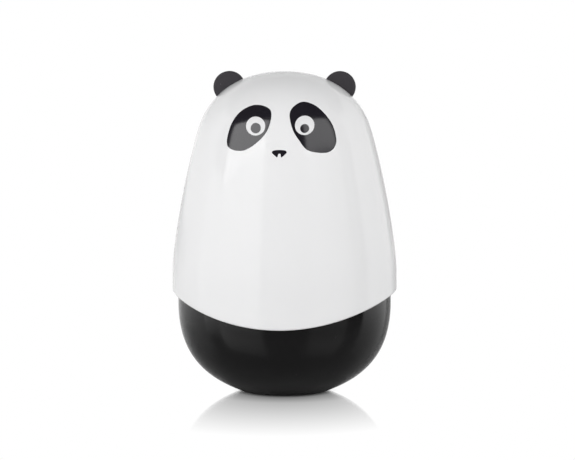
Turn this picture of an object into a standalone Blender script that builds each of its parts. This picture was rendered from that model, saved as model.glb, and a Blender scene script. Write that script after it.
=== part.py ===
"""A baby's standing chime in the form of a panda, at real size in metres.

A white cap with two ears pushes on over a black bowl that is weighted at the foot. Four chime rods
stand on the bowl's deck, and a wooden ball hangs among them from a ring on a cross bar.
The origin is the middle of the foot on the table, +Z is up, and the face looks along -Y.
"""

import math

import bmesh
import bpy
from mathutils import Matrix

# Fits
SEAT_GAP = 0.0003  # between two faces where one piece rests on the other
FIT = 0.0001  # all round a pin, rod or screw in its hole
OVERCUT = 0.005  # how far a cutter runs past the face that it cuts

# Cap: outer form, as two smooth curves that meet at the shoulder, above a straight skirt
CAP_RADIUS = 0.0450
CAP_HEIGHT = 0.1282
CROWN_PULL = 0.0226
SHOULDER_RADIUS = 0.0340
SHOULDER_HEIGHT = 0.1071
SHOULDER_SLOPE = math.radians(70.2)
SHOULDER_PULL_UP = 0.0083
SHOULDER_PULL_DOWN = 0.0098
FLANK_PULL = 0.0160
SKIRT_HEIGHT = 0.0473
RIM_FRONT = 0.0295  # height of the rim at the face and at the back
RIM_RISE = 0.0114  # how much higher the rim is at the two sides
CAP_WALL = 0.0019
STOP_DEPTH = 0.0016  # the ring inside the cap that comes down on the bowl's top edge
STOP_HEIGHT = 0.0014

# Ears
EAR_OFFSET = 0.0222  # from the middle of the cap, measured sideways
EAR_RADIUS = 0.0063
EAR_THICKNESS = 0.0042
EAR_EDGE = 0.0008  # radius of the rounded edge
EAR_SINK = 0.0002  # centre of the disc below the cap's surface
EAR_STEM_RADIUS = 0.0018
EAR_STEM_END = 0.0010  # stem left over below its clip
EAR_BOSS_RADIUS = 0.0048
EAR_BOSS_DEPTH = 0.0015
EAR_CLIP_RADIUS = 0.0042
EAR_CLIP_THICKNESS = 0.0010

# Bowl
COLLAR_CLEARANCE = 0.0004  # between the bowl and the inside of the cap
BOWL_TOP = 0.0490
BOWL_CURVE_TOP = 0.0360
BOWL_SIDE_PULL = 0.0178
BOWL_WALL = 0.0030
BOWL_FLOOR = 0.0041
BOWL_EDGE = 0.0006
FOOT_RADIUS = 0.0175
FOOT_PULL = 0.0191
FOOT_SLOPE = math.radians(20.1)
FOOT_LIFT = 0.0003  # the pad stands this far proud of the bowl

# Foot pad and grip ring
PAD_RADIUS = 0.0165
PAD_THICKNESS = 0.0020
PAD_EDGE = 0.0003
PAD_CLEARANCE = 0.0003
GRIP_SECTION = 0.0009  # radius of the ring's own round section
GRIP_DROP = 0.0038  # ring below the bowl's top edge
GRIP_CLEARANCE = 0.00015
GRIP_ROOM = 0.0002

# Ballast
BALLAST_TOP = 0.0140
BALLAST_CLEARANCE = 0.0015
BALLAST_EDGE = 0.0006
BALLAST_POST_RADIUS = 0.0040
BALLAST_POST_DROP = 0.0006  # post ends this far below the ballast, so that the washer clamps it
WASHER_RADIUS = 0.0080
WASHER_THICKNESS = 0.0012
WASHER_EDGE = 0.0002

# Deck
DECK_HEIGHT = 0.0400  # its underside
DECK_THICKNESS = 0.0024
DECK_CLEARANCE = 0.0003
DECK_EDGE = 0.0003
DECK_SCREW_INSET = 0.0030  # screws in from the bowl's inner wall
BOSS_RADIUS = 0.0034
PLATE_BOSS_DEPTH = 0.0060

# Chime plate, rods and posts
PLATE_THICKNESS = 0.0060
PLATE_MARGIN = 0.0020  # plate outside the feet of the posts
PLATE_EDGE = 0.0006
PLATE_SCREW_INSET = 0.0074
SOCKET_DEPTH = 0.0046
ROD_COUNT = 4
ROD_RADIUS = 0.00125
ROD_TO_POST = 0.0015  # clear space between a rod and the foot of a post
ROD_EDGE = 0.0003
ROD_HEADROOM = 0.0075  # tallest rod below the cross bar's middle
ROD_STEP = 0.0040
POST_RADIUS = 0.0024
POST_SPIGOT_RADIUS = 0.0017
POST_FLANGE_RADIUS = 0.0036
POST_FLANGE_HEIGHT = 0.0012
POST_HEAD_RADIUS = 0.0038

# Cross bar
CROWN_ROOM = 0.0222  # middle of the bar below the top of the crown
BAR_TIP_CLEARANCE = 0.0025  # between the bar's end caps and the inside of the cap
BAR_RADIUS = 0.0020
BAR_EDGE = 0.0003
NECK_RADIUS = 0.0015
NECK_WIDTH = 0.0026
BAR_CAP_RADIUS = 0.0030
BAR_CAP_LENGTH = 0.0026
BAR_CAP_BORE = 0.0018
BAR_CAP_EDGE = 0.0005

# Ring and clapper
RING_RADIUS = 0.0042
RING_WIRE = 0.0007
EYE_RADIUS = 0.0022
EYE_WIRE = 0.0007
CLAPPER_ARM = 0.0280  # from the ring's wire to the middle of the ball
CLAPPER_WIRE = 0.0008
SHOULDER_DISC_RADIUS = 0.0018
SHOULDER_DISC_HEIGHT = 0.0008
BALL_RADIUS = 0.0065
NUT_RADIUS = 0.0021
NUT_HEIGHT = 0.0018
NUT_EDGE = 0.0002
CLAPPER_END = 0.0010  # wire left over below the nut

# Screws
SCREW_RADIUS = 0.0012
SCREW_HEAD_RADIUS = 0.0023
SCREW_HEAD_HEIGHT = 0.0015
SCREW_HEAD_EDGE = 0.0007  # how far the head's top is in from its side
SCREW_TIP = 0.0010
SCREW_GRIP = 0.0034  # thread in the piece that the screw holds on to
PILOT_SPARE = 0.0020  # pilot hole deeper than the screw
RECESS_LENGTH = 0.0028
RECESS_WIDTH = 0.0007
RECESS_DEPTH = 0.0009

# Fineness of the facets
BODY_STEPS = 40
DISC_STEPS = 24
SMALL_STEPS = 16
SCREW_STEPS = 10
WIRE_SIDES = 6
NUT_SIDES = 6
EAR_EDGE_STEPS = 4
CROWN_POINTS = 10
FLANK_POINTS = 8
BOWL_POINTS = 10
INNER_CROWN_POINTS = 5
INNER_FLANK_POINTS = 4
INNER_BOWL_POINTS = 5
HEAD_POINTS = 7
BALL_POINTS = 10
RIM_POINTS = 24
WELD = 0.000001
SMOOTH_ANGLE = math.radians(32)


def curve_points(start, start_pull, end_pull, end, count):
    """Points of a smooth curve that leaves start towards start_pull and comes to end from end_pull."""
    points = []
    for i in range(count + 1):
        t = i / count
        weights = ((1 - t) ** 3, 3 * t * (1 - t) ** 2, 3 * t * t * (1 - t), t**3)
        corners = list(zip(weights, (start, start_pull, end_pull, end)))
        points.append(tuple(sum(w * corner[axis] for w, corner in corners) for axis in (0, 1)))
    return points


def inset(points, depth):
    """An outline that runs down its outer side, moved inwards square to itself."""
    moved = []
    for i, (radius, height) in enumerate(points):
        before = points[max(i - 1, 0)]
        after = points[min(i + 1, len(points) - 1)]
        across, down = after[0] - before[0], before[1] - after[1]
        length = math.hypot(across, down)
        if radius == 0:
            moved.append((0.0, height - depth))
        else:
            moved.append((radius - depth * down / length, height - depth * across / length))
    return moved


def radius_at(points, height):
    """Radius of a falling outline at a height, with its ends carried on straight up and down."""
    for (r0, z0), (r1, z1) in zip(points, points[1:]):
        if z0 >= height > z1:
            return r0 + (r1 - r0) * (z0 - height) / (z0 - z1)
    return points[0][0] if height > points[0][1] else points[-1][0]


def stretch(points, top, bottom):
    """The part of a falling outline between two heights, with its ends cut there."""
    between = [point for point in points if bottom < point[1] < top]
    return [(radius_at(points, top), top), *between, (radius_at(points, bottom), bottom)]


def cap_outline(crown_points=CROWN_POINTS, flank_points=FLANK_POINTS):
    """The cap's outer side, from the top of the crown to the top of the skirt."""
    along = (math.cos(SHOULDER_SLOPE), -math.sin(SHOULDER_SLOPE))
    shoulder = (SHOULDER_RADIUS, SHOULDER_HEIGHT)
    above = tuple(shoulder[i] - SHOULDER_PULL_UP * along[i] for i in (0, 1))
    below = tuple(shoulder[i] + SHOULDER_PULL_DOWN * along[i] for i in (0, 1))
    crown = curve_points((0, CAP_HEIGHT), (CROWN_PULL, CAP_HEIGHT), above, shoulder, crown_points)
    skirt_top = (CAP_RADIUS, SKIRT_HEIGHT)
    flank_pull = (CAP_RADIUS, SKIRT_HEIGHT + FLANK_PULL)
    flank = curve_points(shoulder, below, flank_pull, skirt_top, flank_points)
    return crown + flank[1:]


def cap_inside():
    """The cap's inner side, one wall in from the outer side."""
    return inset(cap_outline(INNER_CROWN_POINTS, INNER_FLANK_POINTS), CAP_WALL)


def bowl_outline(points=BOWL_POINTS):
    """The bowl's outer curve, from its straight side down to the foot."""
    side = (BOWL_RADIUS, BOWL_CURVE_TOP)
    side_pull = (BOWL_RADIUS, BOWL_CURVE_TOP - BOWL_SIDE_PULL)
    foot = (FOOT_RADIUS, FOOT_LIFT)
    foot_pull = (
        FOOT_RADIUS + FOOT_PULL * math.cos(FOOT_SLOPE),
        FOOT_LIFT + FOOT_PULL * math.sin(FOOT_SLOPE),
    )
    return curve_points(side, side_pull, foot_pull, foot, points)


# Places that follow from the sizes above
SOCKET_RADIUS = CAP_RADIUS - CAP_WALL
STOP_BOTTOM = BOWL_TOP + SEAT_GAP
BOWL_RADIUS = SOCKET_RADIUS - COLLAR_CLEARANCE
BOWL_INNER_RADIUS = BOWL_RADIUS - BOWL_WALL
FLOOR_TOP = FOOT_LIFT + BOWL_FLOOR
PAD_CEILING = PAD_THICKNESS + SEAT_GAP
GRIP_HEIGHT = BOWL_TOP - GRIP_DROP
GRIP_CIRCLE = SOCKET_RADIUS - GRIP_CLEARANCE - GRIP_SECTION
DECK_TOP = DECK_HEIGHT + DECK_THICKNESS
DECK_SCREW_CIRCLE = BOWL_INNER_RADIUS - DECK_SCREW_INSET
BOSS_TOP = DECK_HEIGHT - SEAT_GAP
PLATE_BOTTOM = DECK_TOP + SEAT_GAP
PLATE_TOP = PLATE_BOTTOM + PLATE_THICKNESS
SOCKET_FLOOR = PLATE_TOP - SOCKET_DEPTH
BAR_HEIGHT = CAP_HEIGHT - CROWN_ROOM
BAR_TIP = radius_at(cap_inside(), BAR_HEIGHT + BAR_CAP_RADIUS) - BAR_TIP_CLEARANCE
BAR_CAP_START = BAR_TIP - BAR_CAP_LENGTH
POST_OFFSET = BAR_CAP_START - SEAT_GAP - POST_HEAD_RADIUS
ROD_CIRCLE = POST_OFFSET - POST_FLANGE_RADIUS - ROD_TO_POST - ROD_RADIUS
PLATE_RADIUS = POST_OFFSET + POST_FLANGE_RADIUS + PLATE_MARGIN
PLATE_SCREW_CIRCLE = PLATE_RADIUS - PLATE_SCREW_INSET
RING_HEIGHT = BAR_HEIGHT + NECK_RADIUS + SEAT_GAP + RING_WIRE - RING_RADIUS
CLAPPER_PIVOT = RING_HEIGHT - RING_RADIUS
EYE_HEIGHT = CLAPPER_PIVOT + RING_WIRE + SEAT_GAP + EYE_WIRE - EYE_RADIUS
BALL_HEIGHT = CLAPPER_PIVOT - CLAPPER_ARM
DIAGONALS = [math.radians(45 + 90 * quarter) for quarter in range(4)]


def start_empty_scene():
    """Remove what the scene holds and make one collection for the parts and one for the cutters."""
    for obj in list(bpy.data.objects):
        bpy.data.objects.remove(obj)
    for name in ("Panda chime", "Cutters"):
        collection = bpy.data.collections.new(name)
        bpy.context.scene.collection.children.link(collection)


def material(name, colour, roughness, metallic=0.0):
    """A plain surface finish."""
    finish = bpy.data.materials.new(name)
    finish.use_nodes = True
    shader = finish.node_tree.nodes["Principled BSDF"]
    shader.inputs["Base Color"].default_value = (*colour, 1.0)
    shader.inputs["Roughness"].default_value = roughness
    shader.inputs["Metallic"].default_value = metallic
    return finish


def settle(obj):
    """Make the modified shape the object's own mesh, smooth between its sharp edges."""
    graph = bpy.context.evaluated_depsgraph_get()
    mesh = bpy.data.meshes.new_from_object(obj.evaluated_get(graph))
    obj.modifiers.clear()
    obj.data = mesh
    mesh.shade_smooth()
    mesh.set_sharp_from_angle(angle=SMOOTH_ANGLE)


def turned(name, profile, steps, loop=False):
    """A body turned about its own Z axis, from (radius, height) points down its outer side."""
    outline = bmesh.new()
    corners = [outline.verts.new((radius, 0.0, height)) for radius, height in profile]
    ends = corners[1:] + corners[:1] if loop else corners[1:]
    for first, second in zip(corners, ends):
        outline.edges.new((first, second))
    mesh = bpy.data.meshes.new(name)
    outline.to_mesh(mesh)
    outline.free()
    obj = bpy.data.objects.new(name, mesh)
    bpy.data.collections["Panda chime"].objects.link(obj)
    turn = obj.modifiers.new("turn", "SCREW")
    turn.steps = steps
    turn.render_steps = steps
    turn.use_merge_vertices = True
    turn.merge_threshold = WELD
    settle(obj)
    return obj


def cutter(obj):
    """Set an object aside as a tool that shapes others."""
    obj.hide_render = True
    obj.display_type = "WIRE"
    bpy.data.collections["Panda chime"].objects.unlink(obj)
    bpy.data.collections["Cutters"].objects.link(obj)
    return obj


def shape_with(obj, tool, operation="DIFFERENCE"):
    """Cut a tool out of an object, or join it on."""
    change = obj.modifiers.new(tool.name, "BOOLEAN")
    change.operation = operation
    change.object = tool


def finished(obj, finish):
    """Give a part its surface and return it."""
    obj.data.materials.clear()
    obj.data.materials.append(finish)
    return obj


def peg(name, radius, bottom, top, steps):
    """A plain upright cylinder, kept as a tool."""
    return cutter(turned(name, [(0, top), (radius, top), (radius, bottom), (0, bottom)], steps))


def disc(radius, bottom, top, edge):
    """Outline of a round plate with small chamfers."""
    return [
        (0, top),
        (radius - edge, top),
        (radius, top - edge),
        (radius, bottom + edge),
        (radius - edge, bottom),
        (0, bottom),
    ]


def washer(bore, radius, bottom, top, edge):
    """Closed outline of a round plate with a hole, chamfered outside."""
    return [
        (radius - edge, top),
        (radius, top - edge),
        (radius, bottom + edge),
        (radius - edge, bottom),
        (bore, bottom),
        (bore, top),
    ]


def round_section(circle, radius):
    """Closed outline of a ring of round wire, from its top down the outer side."""
    angles = [math.pi / 2 - math.tau * side / WIRE_SIDES for side in range(WIRE_SIDES)]
    return [(circle + radius * math.cos(a), radius * math.sin(a)) for a in angles]


def ear_seat(side):
    """Frame on the cap's surface where an ear stands, with Z square to the surface."""
    outline = cap_outline()
    for (r0, z0), (r1, z1) in zip(outline, outline[1:]):
        if r0 <= EAR_OFFSET < r1:
            height = z0 + (z1 - z0) * (EAR_OFFSET - r0) / (r1 - r0)
            tilt = math.atan2(z0 - z1, r1 - r0)
    place = Matrix.Translation((side * EAR_OFFSET, 0, height))
    return place @ Matrix.Rotation(side * tilt, 4, "Y")


def rim_cutter():
    """A block below the cap whose top is the rim's curve, low at the front and high at the sides."""
    reach = CAP_RADIUS + OVERCUT
    block = bmesh.new()
    corners = []
    for i in range(RIM_POINTS + 1):
        x = reach * (2 * i / RIM_POINTS - 1)
        height = RIM_FRONT + RIM_RISE * (x / CAP_RADIUS) ** 2
        corners.append(block.verts.new((x, -reach, height)))
    for x in (reach, -reach):
        corners.append(block.verts.new((x, -reach, RIM_FRONT - 2 * OVERCUT)))
    face = block.faces.new(corners)
    sweep = bmesh.ops.extrude_face_region(block, geom=[face])["geom"]
    moved = [v for v in sweep if isinstance(v, bmesh.types.BMVert)]
    bmesh.ops.translate(block, verts=moved, vec=(0, 2 * reach, 0))
    bmesh.ops.recalc_face_normals(block, faces=block.faces)
    mesh = bpy.data.meshes.new("rim_cut")
    block.to_mesh(mesh)
    block.free()
    obj = bpy.data.objects.new("rim_cut", mesh)
    bpy.data.collections["Panda chime"].objects.link(obj)
    return cutter(obj)


def make_cap(white):
    """The hollow white cap: a stop ring inside, a curved rim, and a drilled boss for each ear."""
    outline = cap_outline()
    skirt_bottom = RIM_FRONT - OVERCUT
    stop_top = STOP_BOTTOM + STOP_HEIGHT
    stop_radius = SOCKET_RADIUS - STOP_DEPTH
    inside = [point for point in cap_inside() if point[1] > stop_top + STOP_DEPTH]
    profile = outline + [
        (CAP_RADIUS, skirt_bottom),
        (SOCKET_RADIUS, skirt_bottom),
        (SOCKET_RADIUS, STOP_BOTTOM),
        (stop_radius, STOP_BOTTOM),
        (stop_radius, stop_top),
    ]
    cap = turned("cap_shell", profile + inside[::-1], BODY_STEPS)
    shape_with(cap, rim_cutter())
    boss_bottom = -CAP_WALL - EAR_BOSS_DEPTH
    for name, side in (("left", -1), ("right", 1)):
        seat = ear_seat(side)
        boss = peg(f"ear_boss_{name}", EAR_BOSS_RADIUS, boss_bottom, -CAP_WALL / 2, SMALL_STEPS)
        hole = peg(
            f"ear_hole_{name}", EAR_STEM_RADIUS + FIT, boss_bottom - OVERCUT, OVERCUT, SMALL_STEPS
        )
        boss.matrix_world = seat
        hole.matrix_world = seat
        shape_with(cap, boss, "UNION")
        shape_with(cap, hole)
    return finished(cap, white)


def make_ear(name, side, black):
    """A flat round ear, hollowed below to sit on the cap, with a stem through the cap."""
    half = EAR_THICKNESS / 2
    rounding = [math.pi / 2 * (1 - step / EAR_EDGE_STEPS) for step in range(1, EAR_EDGE_STEPS + 1)]
    face = [(0, half), (EAR_RADIUS - EAR_EDGE, half)]
    for angle in rounding:
        out = EAR_RADIUS - EAR_EDGE + EAR_EDGE * math.cos(angle)
        face.append((out, half - EAR_EDGE + EAR_EDGE * math.sin(angle)))
    ear = turned(name, face + [(r, -z) for r, z in face[::-1]], DISC_STEPS)
    seat = ear_seat(side)
    centre = seat @ Matrix.Translation((0, 0, -EAR_SINK))
    ear.location = centre.translation
    ear.rotation_euler = (math.pi / 2, 0, 0)
    below = inset(cap_outline(), -SEAT_GAP)
    crown = cutter(turned(f"{name}_crown", below + [(0, below[-1][1])], BODY_STEPS))
    shape_with(ear, crown)
    clip_bottom = -CAP_WALL - EAR_BOSS_DEPTH - SEAT_GAP - EAR_CLIP_THICKNESS
    stem = peg(
        f"{name}_stem", EAR_STEM_RADIUS, clip_bottom - EAR_STEM_END, EAR_RADIUS / 2, SMALL_STEPS
    )
    stem.matrix_world = seat
    shape_with(ear, stem, "UNION")
    return finished(ear, black)


def make_ear_clip(name, side, steel):
    """The push-on washer that holds an ear's stem inside the cap."""
    top = -CAP_WALL - EAR_BOSS_DEPTH - SEAT_GAP
    bottom = top - EAR_CLIP_THICKNESS
    outline = washer(EAR_STEM_RADIUS + FIT, EAR_CLIP_RADIUS, bottom, top, WASHER_EDGE)
    clip = turned(name, outline, SMALL_STEPS, loop=True)
    clip.matrix_world = ear_seat(side)
    return finished(clip, steel)


def make_bowl(black):
    """The black bowl: a grooved collar, a recess below for the pad, and posts for the screws inside."""
    groove_radius = GRIP_CIRCLE - GRIP_SECTION - GRIP_ROOM
    groove_top = GRIP_HEIGHT + GRIP_SECTION + GRIP_ROOM
    groove_bottom = GRIP_HEIGHT - GRIP_SECTION - GRIP_ROOM
    pad_hole = PAD_RADIUS + PAD_CLEARANCE
    collar = [
        (0, BOWL_TOP),
        (BOWL_RADIUS - BOWL_EDGE, BOWL_TOP),
        (BOWL_RADIUS, BOWL_TOP - BOWL_EDGE),
        (BOWL_RADIUS, groove_top),
        (groove_radius, groove_top),
        (groove_radius, groove_bottom),
        (BOWL_RADIUS, groove_bottom),
    ]
    foot = [(pad_hole, FOOT_LIFT), (pad_hole, PAD_CEILING), (0, PAD_CEILING)]
    bowl = turned("base_bowl", collar + bowl_outline() + foot, BODY_STEPS)
    inner_curve = inset(bowl_outline(INNER_BOWL_POINTS), BOWL_WALL)
    inside = stretch(inner_curve, BOWL_CURVE_TOP, FLOOR_TOP)
    mouth = BOWL_TOP + OVERCUT
    cavity_profile = [(0, mouth), (BOWL_INNER_RADIUS, mouth), *inside, (0, FLOOR_TOP)]
    cavity = cutter(turned("bowl_cavity", cavity_profile, BODY_STEPS))
    shape_with(bowl, cavity)
    ballast_post_top = BALLAST_TOP - BALLAST_POST_DROP
    ballast_post = peg(
        "ballast_post", BALLAST_POST_RADIUS, FLOOR_TOP - OVERCUT, ballast_post_top, SMALL_STEPS
    )
    shape_with(cavity, ballast_post)
    ballast_pilot = peg(
        "ballast_pilot", SCREW_RADIUS + FIT, FLOOR_TOP, ballast_post_top + OVERCUT, SCREW_STEPS
    )
    shape_with(bowl, ballast_pilot)
    pilot_bottom = BOSS_TOP - SCREW_GRIP - PILOT_SPARE
    for number, angle in enumerate(DIAGONALS, 1):
        across, along = math.cos(angle), math.sin(angle)
        boss = peg(f"deck_boss_{number}", BOSS_RADIUS, -OVERCUT, BOSS_TOP, SMALL_STEPS)
        boss.location = (DECK_SCREW_CIRCLE * across, DECK_SCREW_CIRCLE * along, 0)
        shape_with(cavity, boss)
        pilot = peg(
            f"deck_pilot_{number}", SCREW_RADIUS + FIT, pilot_bottom, BOSS_TOP + OVERCUT, SCREW_STEPS
        )
        pilot.location = boss.location
        shape_with(bowl, pilot)
    return finished(bowl, black)


def make_foot_pad(rubber):
    """The rubber disc in the recess below the bowl, which the toy stands on."""
    pad = turned("foot_pad", disc(PAD_RADIUS, 0, PAD_THICKNESS, PAD_EDGE), DISC_STEPS)
    return finished(pad, rubber)


def make_grip_ring(rubber):
    """The rubber ring in the collar's groove that holds the cap by friction."""
    ring = turned("grip_ring", round_section(GRIP_CIRCLE, GRIP_SECTION), BODY_STEPS, loop=True)
    ring.location = (0, 0, GRIP_HEIGHT)
    return finished(ring, rubber)


def make_ballast(iron):
    """The cast weight in the foot: a ring that follows the bowl and sits round its post."""
    bottom = FLOOR_TOP + SEAT_GAP
    inside = inset(bowl_outline(INNER_BOWL_POINTS), BOWL_WALL + BALLAST_CLEARANCE)
    side = stretch(inside, BALLAST_TOP - BALLAST_EDGE, bottom)
    bore = BALLAST_POST_RADIUS + SEAT_GAP
    top_radius = side[0][0] - BALLAST_EDGE
    profile = [(top_radius, BALLAST_TOP), *side, (bore, bottom), (bore, BALLAST_TOP)]
    return finished(turned("ballast_ring", profile, DISC_STEPS, loop=True), iron)


def make_ballast_washer(steel):
    """The wide washer that clamps the ballast."""
    bottom = BALLAST_TOP + SEAT_GAP
    top = bottom + WASHER_THICKNESS
    outline = washer(SCREW_RADIUS + FIT, WASHER_RADIUS, bottom, top, WASHER_EDGE)
    return finished(turned("ballast_washer", outline, DISC_STEPS, loop=True), steel)


def make_screw(name, place, through, steel):
    """A pan-head screw with a cross recess, on the face at place, long enough for what it goes through."""
    length = SEAT_GAP + through + SCREW_GRIP
    rise = SCREW_HEAD_HEIGHT / 2
    profile = [
        (0, SCREW_HEAD_HEIGHT),
        (SCREW_HEAD_RADIUS - SCREW_HEAD_EDGE, SCREW_HEAD_HEIGHT),
        (SCREW_HEAD_RADIUS, rise),
        (SCREW_HEAD_RADIUS, 0),
        (SCREW_RADIUS, 0),
        (SCREW_RADIUS, SCREW_TIP - length),
        (0, -length),
    ]
    screw = turned(name, profile, SCREW_STEPS)
    screw.location = (place[0], place[1], place[2] + SEAT_GAP)
    for bar, turn in (("a", 0), ("b", math.pi / 2)):
        bpy.ops.mesh.primitive_cube_add(size=1)
        slot = bpy.context.object
        slot.name = f"{name}_slot_{bar}"
        depth = RECESS_DEPTH + OVERCUT
        slot.data.transform(Matrix.Diagonal((RECESS_LENGTH, RECESS_WIDTH, depth, 1)))
        slot.rotation_euler = (0, 0, turn)
        slot.location = screw.location
        slot.location.z += SCREW_HEAD_HEIGHT - RECESS_DEPTH + depth / 2
        for home in slot.users_collection:
            home.objects.unlink(slot)
        bpy.data.collections["Panda chime"].objects.link(slot)
        shape_with(screw, cutter(slot))
    return finished(screw, steel)


def make_deck(grey):
    """The inner lid of the bowl, with holes for its own screws and bosses for the chime plate's."""
    radius = BOWL_INNER_RADIUS - DECK_CLEARANCE
    deck = turned("chime_deck", disc(radius, DECK_HEIGHT, DECK_TOP, DECK_EDGE), BODY_STEPS)
    boss_bottom = DECK_HEIGHT - PLATE_BOSS_DEPTH
    for number, angle in enumerate(DIAGONALS, 1):
        across, along = math.cos(angle), math.sin(angle)
        boss = peg(f"plate_boss_{number}", BOSS_RADIUS, boss_bottom, DECK_TOP - DECK_EDGE, SMALL_STEPS)
        boss.location = (PLATE_SCREW_CIRCLE * across, PLATE_SCREW_CIRCLE * along, 0)
        shape_with(deck, boss, "UNION")
        for use, circle in (("plate", PLATE_SCREW_CIRCLE), ("deck", DECK_SCREW_CIRCLE)):
            hole = peg(
                f"{use}_screw_hole_{number}",
                SCREW_RADIUS + FIT,
                boss_bottom - OVERCUT,
                DECK_TOP + OVERCUT,
                SCREW_STEPS,
            )
            hole.location = (circle * across, circle * along, 0)
            shape_with(deck, hole)
    return finished(deck, grey)


def rod_place(number):
    """Where a chime rod stands on the plate: one towards each side of the toy."""
    angle = math.tau * number / ROD_COUNT
    return (ROD_CIRCLE * math.cos(angle), ROD_CIRCLE * math.sin(angle))


def make_plate(zinc):
    """The heavy chime plate, with a blind socket for each rod and post and four screw holes."""
    plate = turned("chime_plate", disc(PLATE_RADIUS, PLATE_BOTTOM, PLATE_TOP, PLATE_EDGE), DISC_STEPS)
    top = PLATE_TOP + OVERCUT
    for number in range(ROD_COUNT):
        socket = peg(f"rod_socket_{number + 1}", ROD_RADIUS + FIT, SOCKET_FLOOR, top, SCREW_STEPS)
        socket.location = (*rod_place(number), 0)
        shape_with(plate, socket)
    for name, side in (("left", -1), ("right", 1)):
        socket = peg(f"post_socket_{name}", POST_SPIGOT_RADIUS + FIT, SOCKET_FLOOR, top, SMALL_STEPS)
        socket.location = (side * POST_OFFSET, 0, 0)
        shape_with(plate, socket)
    for number, angle in enumerate(DIAGONALS, 1):
        hole = peg(
            f"plate_hole_{number}", SCREW_RADIUS + FIT, PLATE_BOTTOM - OVERCUT, top, SCREW_STEPS
        )
        hole.location = (PLATE_SCREW_CIRCLE * math.cos(angle), PLATE_SCREW_CIRCLE * math.sin(angle), 0)
        shape_with(plate, hole)
    return finished(plate, zinc)


def make_rod(number, steel):
    """One chime rod: each is a step shorter than the one before, for its own note."""
    bottom = SOCKET_FLOOR + SEAT_GAP
    top = BAR_HEIGHT - ROD_HEADROOM - ROD_STEP * number
    rod = turned(f"chime_rod_{number + 1}", disc(ROD_RADIUS, bottom, top, ROD_EDGE), SCREW_STEPS)
    rod.location = (*rod_place(number), 0)
    return finished(rod, steel)


def make_post(name, side, steel):
    """A turned post: a spigot in the plate, a flange on it, and a round head that the bar passes through."""
    flange_bottom = PLATE_TOP + SEAT_GAP
    flange_top = flange_bottom + POST_FLANGE_HEIGHT
    neck = math.asin(POST_RADIUS / POST_HEAD_RADIUS)
    head = []
    for i in range(HEAD_POINTS + 1):
        angle = (math.pi - neck) * i / HEAD_POINTS
        height = BAR_HEIGHT + POST_HEAD_RADIUS * math.cos(angle)
        head.append((POST_HEAD_RADIUS * math.sin(angle), height))
    shaft = [
        (POST_RADIUS, flange_top),
        (POST_FLANGE_RADIUS, flange_top),
        (POST_FLANGE_RADIUS, flange_bottom),
        (POST_SPIGOT_RADIUS, flange_bottom),
        (POST_SPIGOT_RADIUS, SOCKET_FLOOR + SEAT_GAP),
        (0, SOCKET_FLOOR + SEAT_GAP),
    ]
    post = turned(name, head + shaft, SMALL_STEPS)
    post.location = (side * POST_OFFSET, 0, 0)
    half = POST_HEAD_RADIUS + OVERCUT
    hole = peg(f"{name}_hole", BAR_RADIUS + FIT, -half, half, SMALL_STEPS)
    hole.rotation_euler = (0, math.pi / 2, 0)
    hole.location = (side * POST_OFFSET, 0, BAR_HEIGHT)
    shape_with(post, hole)
    return finished(post, steel)


def make_cross_bar(steel):
    """The bar between the posts, turned down in the middle where the ring hangs."""
    end = BAR_CAP_START + BAR_CAP_BORE - SEAT_GAP
    neck = NECK_WIDTH / 2
    slope = neck + BAR_RADIUS - NECK_RADIUS
    half = [(0, end), (BAR_RADIUS - BAR_EDGE, end), (BAR_RADIUS, end - BAR_EDGE)]
    half += [(BAR_RADIUS, slope), (NECK_RADIUS, neck)]
    bar = turned("cross_bar", half + [(r, -z) for r, z in half[::-1]], SMALL_STEPS)
    bar.rotation_euler = (0, math.pi / 2, 0)
    bar.location = (0, 0, BAR_HEIGHT)
    return finished(bar, steel)


def make_bar_cap(name, side, brass):
    """A press-on cup that keeps an end of the bar in its post."""
    bore = BAR_RADIUS + FIT
    floor = BAR_CAP_START + BAR_CAP_BORE
    profile = [
        (0, BAR_TIP),
        (BAR_CAP_RADIUS - BAR_CAP_EDGE, BAR_TIP),
        (BAR_CAP_RADIUS, BAR_TIP - BAR_CAP_EDGE),
        (BAR_CAP_RADIUS, BAR_CAP_START),
        (bore, BAR_CAP_START),
        (bore, floor),
        (0, floor),
    ]
    cap = turned(name, profile, SMALL_STEPS)
    cap.rotation_euler = (0, side * math.pi / 2, 0)
    cap.location = (0, 0, BAR_HEIGHT)
    return finished(cap, brass)


def make_hanger_ring(steel):
    """The wire ring that rides on the bar's neck and swings to the front and back."""
    ring = turned("hanger_ring", round_section(RING_RADIUS, RING_WIRE), DISC_STEPS, loop=True)
    ring.rotation_euler = (0, math.pi / 2, 0)
    ring.location = (0, 0, RING_HEIGHT)
    return finished(ring, steel)


def make_clapper_rod(steel):
    """The clapper's wire: an eye round the ring, a shoulder above the ball, and an end for the nut."""
    shoulder_bottom = BALL_HEIGHT + BALL_RADIUS + SEAT_GAP
    shoulder_top = shoulder_bottom + SHOULDER_DISC_HEIGHT
    end = BALL_HEIGHT - BALL_RADIUS - SEAT_GAP - NUT_HEIGHT - CLAPPER_END
    top = EYE_HEIGHT - EYE_RADIUS + EYE_WIRE / 2
    profile = [
        (0, top),
        (CLAPPER_WIRE, top),
        (CLAPPER_WIRE, shoulder_top),
        (SHOULDER_DISC_RADIUS, shoulder_top),
        (SHOULDER_DISC_RADIUS, shoulder_bottom),
        (CLAPPER_WIRE, shoulder_bottom),
        (CLAPPER_WIRE, end),
        (0, end),
    ]
    rod = turned("clapper_rod", profile, SCREW_STEPS)
    eye = cutter(turned("clapper_eye", round_section(EYE_RADIUS, EYE_WIRE), SMALL_STEPS, loop=True))
    eye.rotation_euler = (math.pi / 2, 0, 0)
    eye.location = (0, 0, EYE_HEIGHT)
    shape_with(rod, eye, "UNION")
    return finished(rod, steel)


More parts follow.
